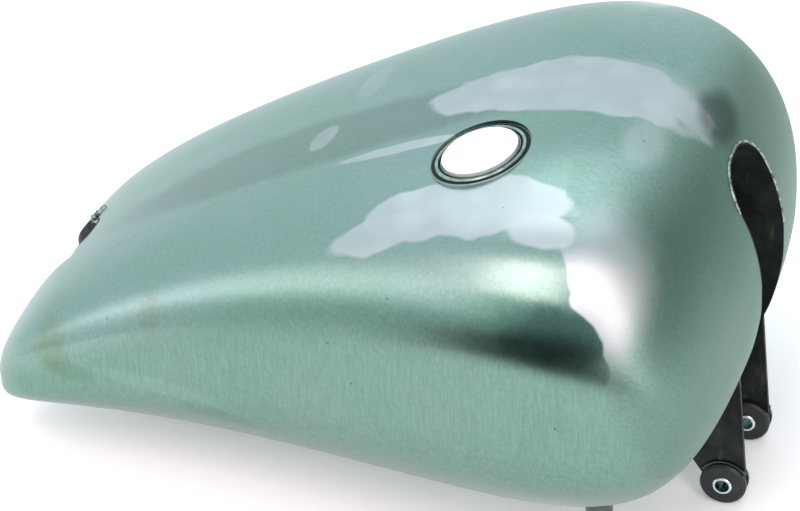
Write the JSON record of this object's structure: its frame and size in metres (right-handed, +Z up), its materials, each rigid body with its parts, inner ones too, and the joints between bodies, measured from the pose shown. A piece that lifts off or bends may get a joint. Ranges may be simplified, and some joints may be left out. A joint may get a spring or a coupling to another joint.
{
  "type": "motorcycle fuel tank",
  "caption": "Bare steel one-piece stretched motorcycle fuel tank with an open frame tunnel, a recessed side filler with push-in dust plug and rubber-mounted front tabs.",
  "frame": {"origin": "under the middle of the tank's length, on its centre plane, level with the underside of the front grommets", "axes": "+X runs forward from tail to nose, +Y to the rider's left, +Z up"},
  "size_m": [0.5726, 0.4192, 0.3172],
  "materials": {
    "brushed_skin": "brushed bare sheet",
    "sanded_nose": "cross-sanded bare sheet",
    "raw_sheet": "dark mill scale",
    "turned_steel": "turned",
    "rubber": "matt",
    "plated_sleeve": "bright zinc",
    "white_plug": "plain white"
  },
  "bodies": {
    "tank": {"right_side_shell": "brushed_skin", "left_side_shell": "brushed_skin", "right_nose_cap": "sanded_nose", "left_nose_cap": "sanded_nose", "centre_strip": "brushed_skin", "right_bottom_pan": "brushed_skin", "left_bottom_pan": "brushed_skin", "tunnel_channel": "raw_sheet", "right_baffle": "raw_sheet", "left_baffle": "raw_sheet", "filler_neck": "turned_steel", "front_mount_tab_right": "raw_sheet", "front_mount_tab_left": "raw_sheet", "front_grommet_collar_right": "turned_steel", "front_grommet_collar_left": "turned_steel", "front_grommet_right": "rubber", "front_grommet_left": "rubber", "rear_mount_bracket": "raw_sheet", "rear_grommet": "rubber", "petcock_bung": "turned_steel", "crossover_bung_right": "turned_steel", "crossover_bung_left": "turned_steel"},
    "front_sleeve_right": {"front_sleeve_right": "plated_sleeve"},
    "front_sleeve_left": {"front_sleeve_left": "plated_sleeve"},
    "rear_sleeve": {"rear_sleeve": "plated_sleeve"},
    "dust_plug": {"filler_dust_plug": "white_plug"}
  },
  "joints": [
    {"name": "front_sleeve_right_turn", "type": "hinge", "parent": "tank", "child": "front_sleeve_right", "pos_m": [0.2648, -0.0386, 0.017], "axis": [0, 1, 0], "continuous": true},
    {"name": "front_sleeve_left_turn", "type": "hinge", "parent": "tank", "child": "front_sleeve_left", "pos_m": [0.2648, 0.0386, 0.017], "axis": [0, 1, 0], "continuous": true},
    {"name": "rear_sleeve_turn", "type": "hinge", "parent": "tank", "child": "rear_sleeve", "pos_m": [-0.195, 0, 0.0555], "axis": [0, 0, 1], "continuous": true},
    {"name": "plug_pull", "type": "slide", "parent": "tank", "child": "dust_plug", "axis": [-0.2499, -0.07, 0.9657], "range_m": [0, 0.08]}
  ]
}
